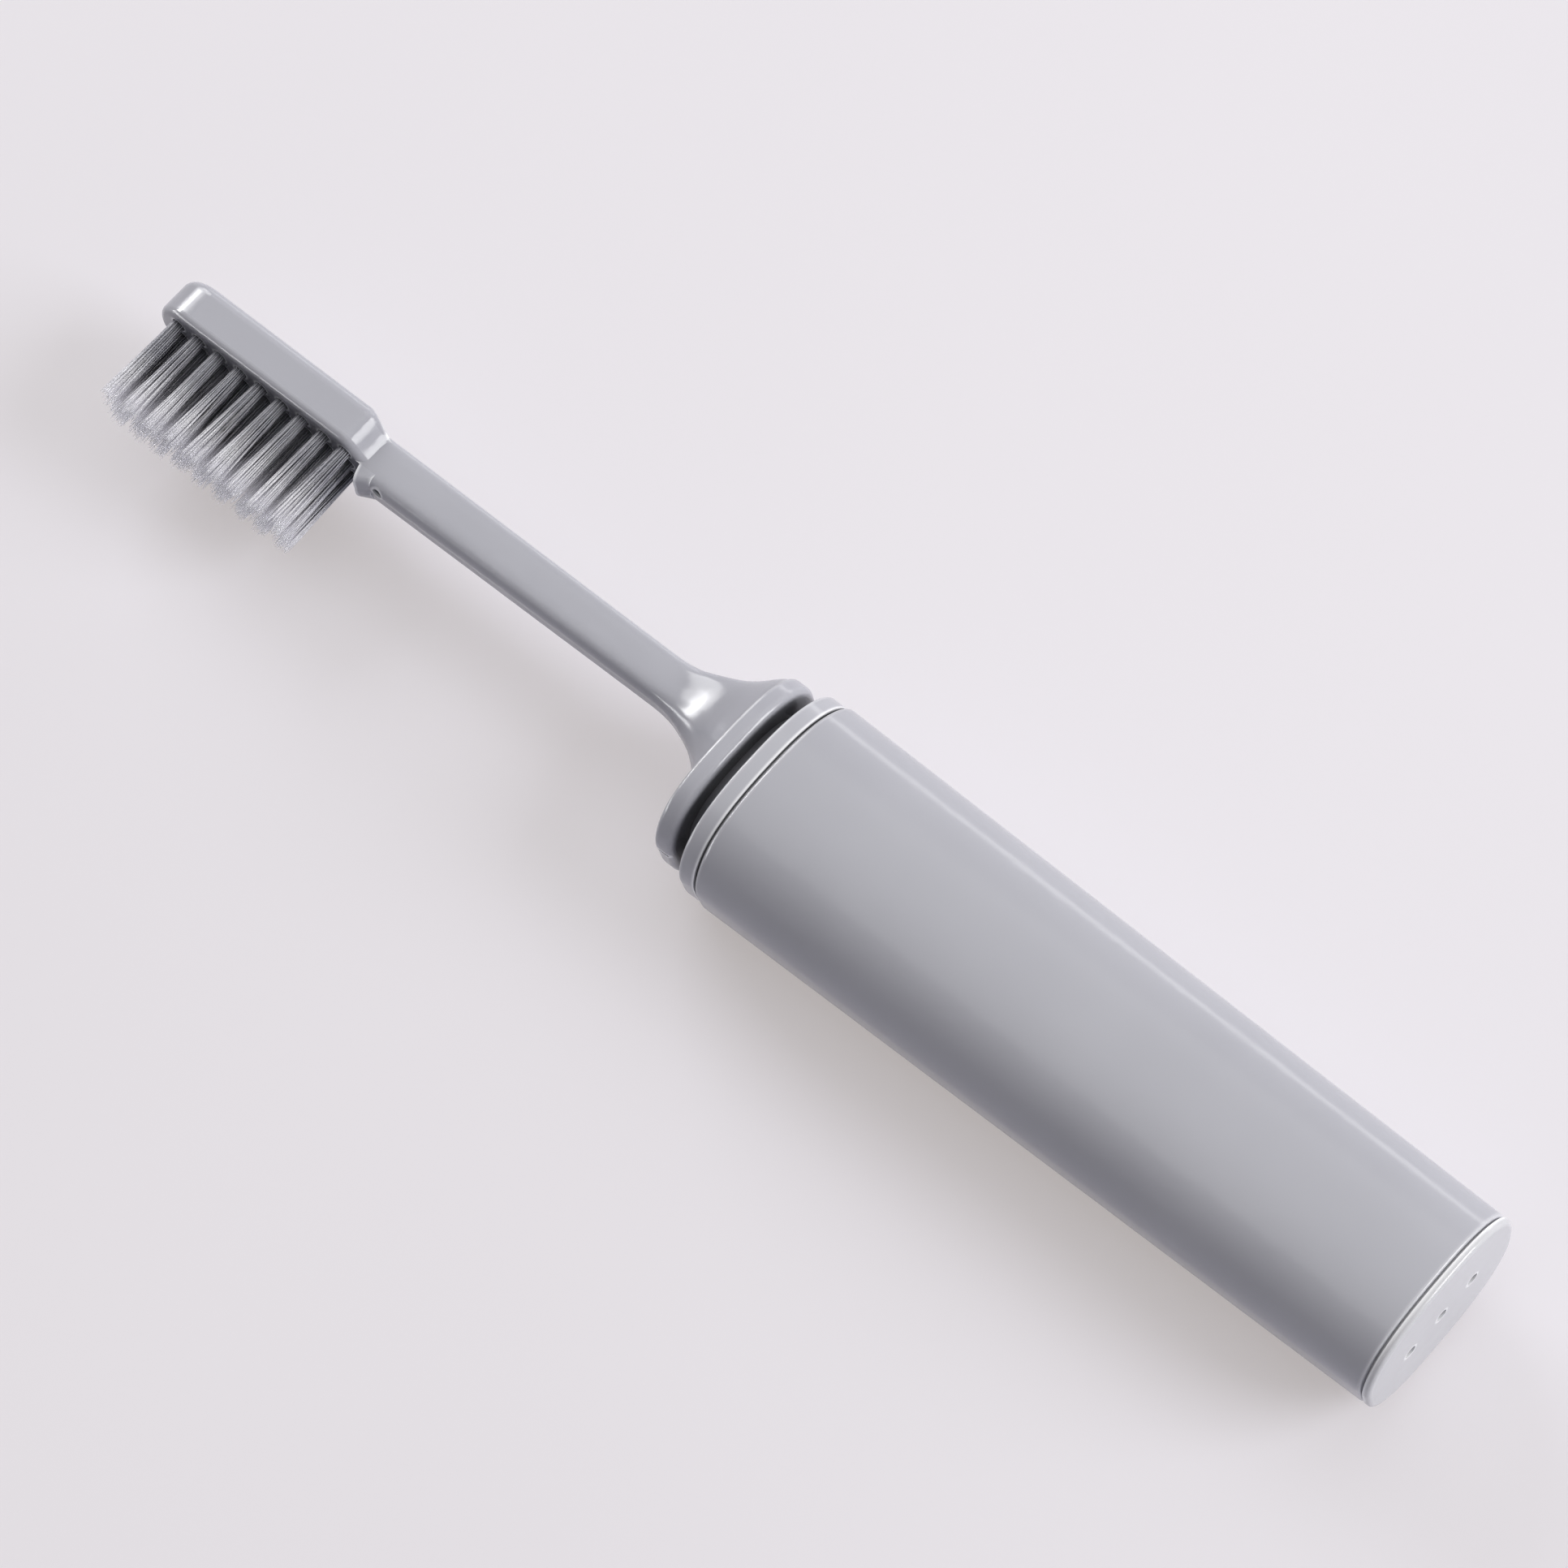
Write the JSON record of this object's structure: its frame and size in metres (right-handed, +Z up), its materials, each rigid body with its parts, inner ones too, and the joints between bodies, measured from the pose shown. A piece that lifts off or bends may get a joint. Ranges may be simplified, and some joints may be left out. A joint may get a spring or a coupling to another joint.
{
  "type": "travel toothbrush",
  "caption": "Manual travel toothbrush whose oval tapered case is the handle; the brush plugs into its mouth and pulls out to be stored inside.",
  "frame": {"origin": "on the table, under the middle of the object as it lies on its broad side: the centre of the bottom of its bounding box", "axes": "+X along the length from the closed end of the case to the tip of the head, +Y the way the bristles point, +Z up"},
  "size_m": [0.1747, 0.0251, 0.0199],
  "materials": {
    "case_plastic": "glossy mid-grey moulded plastic",
    "brush_plastic": "glossy mid-grey moulded plastic",
    "bristle_nylon": "translucent grey nylon filament",
    "anchor_metal": "plain strip metal"
  },
  "bodies": {
    "case": {"case_tube": "case_plastic", "mouth_collar": "case_plastic", "end_cap": "case_plastic"},
    "brush": {"brush_body": "brush_plastic", "tuft_anchors": "anchor_metal", "tuft_1_left": "bristle_nylon", "tuft_1_middle": "bristle_nylon", "tuft_1_right": "bristle_nylon", "tuft_2_left": "bristle_nylon", "tuft_2_middle": "bristle_nylon", "tuft_2_right": "bristle_nylon", "tuft_3_left": "bristle_nylon", "tuft_3_middle": "bristle_nylon", "tuft_3_right": "bristle_nylon", "tuft_4_left": "bristle_nylon", "tuft_4_middle": "bristle_nylon", "tuft_4_right": "bristle_nylon", "tuft_5_left": "bristle_nylon", "tuft_5_middle": "bristle_nylon", "tuft_5_right": "bristle_nylon", "tuft_6_left": "bristle_nylon", "tuft_6_middle": "bristle_nylon", "tuft_6_right": "bristle_nylon", "tuft_7_left": "bristle_nylon", "tuft_7_middle": "bristle_nylon", "tuft_7_right": "bristle_nylon", "tuft_8_left": "bristle_nylon", "tuft_8_middle": "bristle_nylon", "tuft_8_right": "bristle_nylon", "tuft_9_left": "bristle_nylon", "tuft_9_middle": "bristle_nylon", "tuft_9_right": "bristle_nylon"}
  },
  "joints": [
    {"name": "brush_pull_out", "type": "slide", "parent": "case", "child": "brush", "axis": [1, 0, 0], "range_m": [0, 0.03]}
  ]
}
